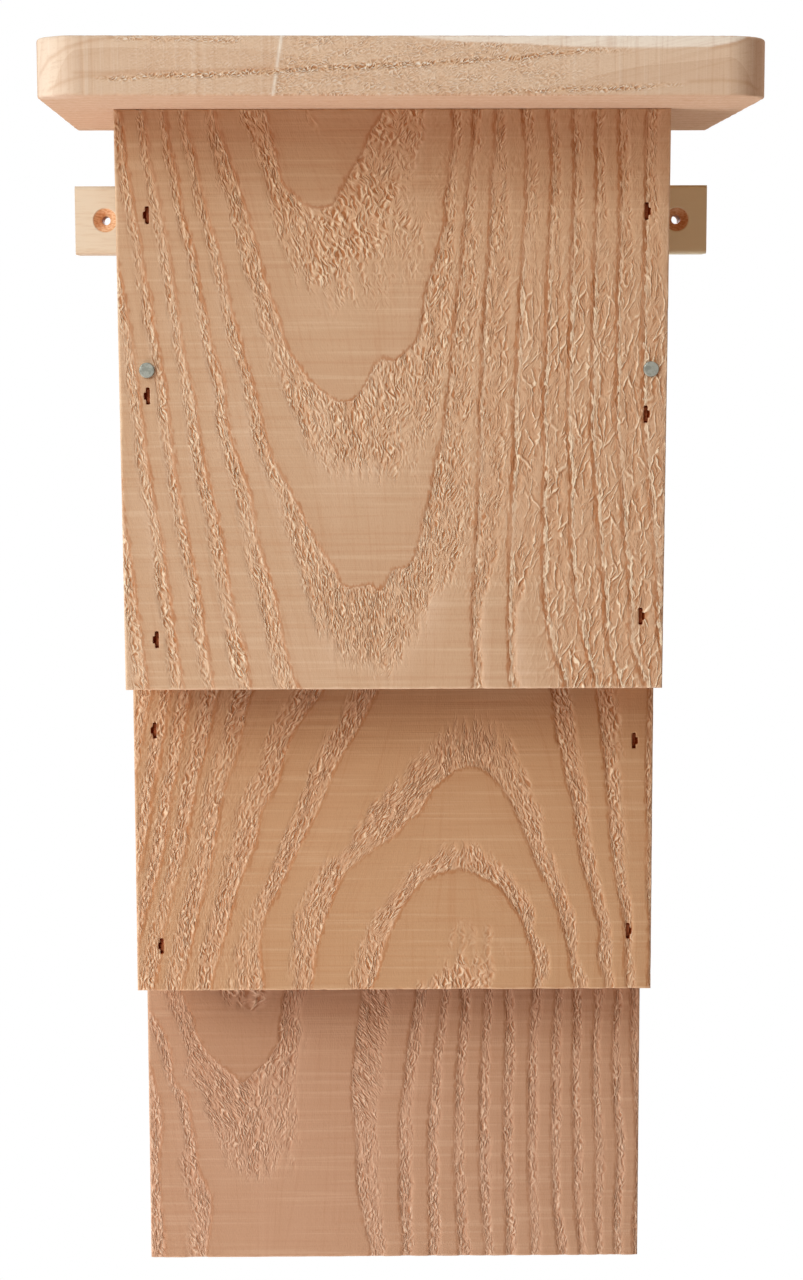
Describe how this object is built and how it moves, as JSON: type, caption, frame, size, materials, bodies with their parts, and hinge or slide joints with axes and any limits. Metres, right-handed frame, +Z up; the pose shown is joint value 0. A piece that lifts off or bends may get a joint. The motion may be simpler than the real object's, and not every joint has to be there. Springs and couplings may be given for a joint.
{
  "type": "bat box",
  "caption": "Wall-hung wooden bat box with a flat overhanging roof, three stepped rough-sawn panels with open-bottomed crevices between them, and a hanging batten.",
  "frame": {"origin": "centre of the hanging batten's rear face, midway between the two wall screw holes, on the wall plane", "axes": "+Z up, +Y from the box into the wall it hangs on, +X to the right of a person who faces the box"},
  "size_m": [0.254, 0.1669, 0.477],
  "materials": {
    "rough_sawn_wood": "rough sawn, untreated",
    "roof_wood": "rough sawn, untreated, paler",
    "planed_wood": "planed, untreated",
    "nail_steel": "dull zinc",
    "staple_steel": "dull galvanised wire"
  },
  "bodies": {
    "root": {"roof_board": "roof_wood", "front_panel": "rough_sawn_wood", "middle_panel": "rough_sawn_wood", "back_panel": "rough_sawn_wood", "front_spacer_left": "rough_sawn_wood", "front_spacer_right": "rough_sawn_wood", "rear_spacer_left": "rough_sawn_wood", "rear_spacer_right": "rough_sawn_wood", "hanging_batten": "planed_wood", "front_nail_left": "nail_steel", "front_nail_right": "nail_steel", "front_staple_left_1": "staple_steel", "front_staple_left_2": "staple_steel", "front_staple_left_3": "staple_steel", "front_staple_right_1": "staple_steel", "front_staple_right_2": "staple_steel", "front_staple_right_3": "staple_steel", "middle_staple_left_1": "staple_steel", "middle_staple_left_2": "staple_steel", "middle_staple_left_3": "staple_steel", "middle_staple_left_4": "staple_steel", "middle_staple_right_1": "staple_steel", "middle_staple_right_2": "staple_steel", "middle_staple_right_3": "staple_steel", "middle_staple_right_4": "staple_steel", "back_staple_left_1": "staple_steel", "back_staple_left_2": "staple_steel", "back_staple_left_3": "staple_steel", "back_staple_right_1": "staple_steel", "back_staple_right_2": "staple_steel", "back_staple_right_3": "staple_steel", "roof_staple_front_1": "staple_steel", "roof_staple_front_2": "staple_steel", "roof_staple_front_3": "staple_steel", "roof_staple_rear_1": "staple_steel", "roof_staple_rear_2": "staple_steel", "roof_staple_rear_3": "staple_steel", "batten_staple_left_1": "staple_steel", "batten_staple_left_2": "staple_steel", "batten_staple_right_1": "staple_steel", "batten_staple_right_2": "staple_steel"}
  },
  "joints": []
}
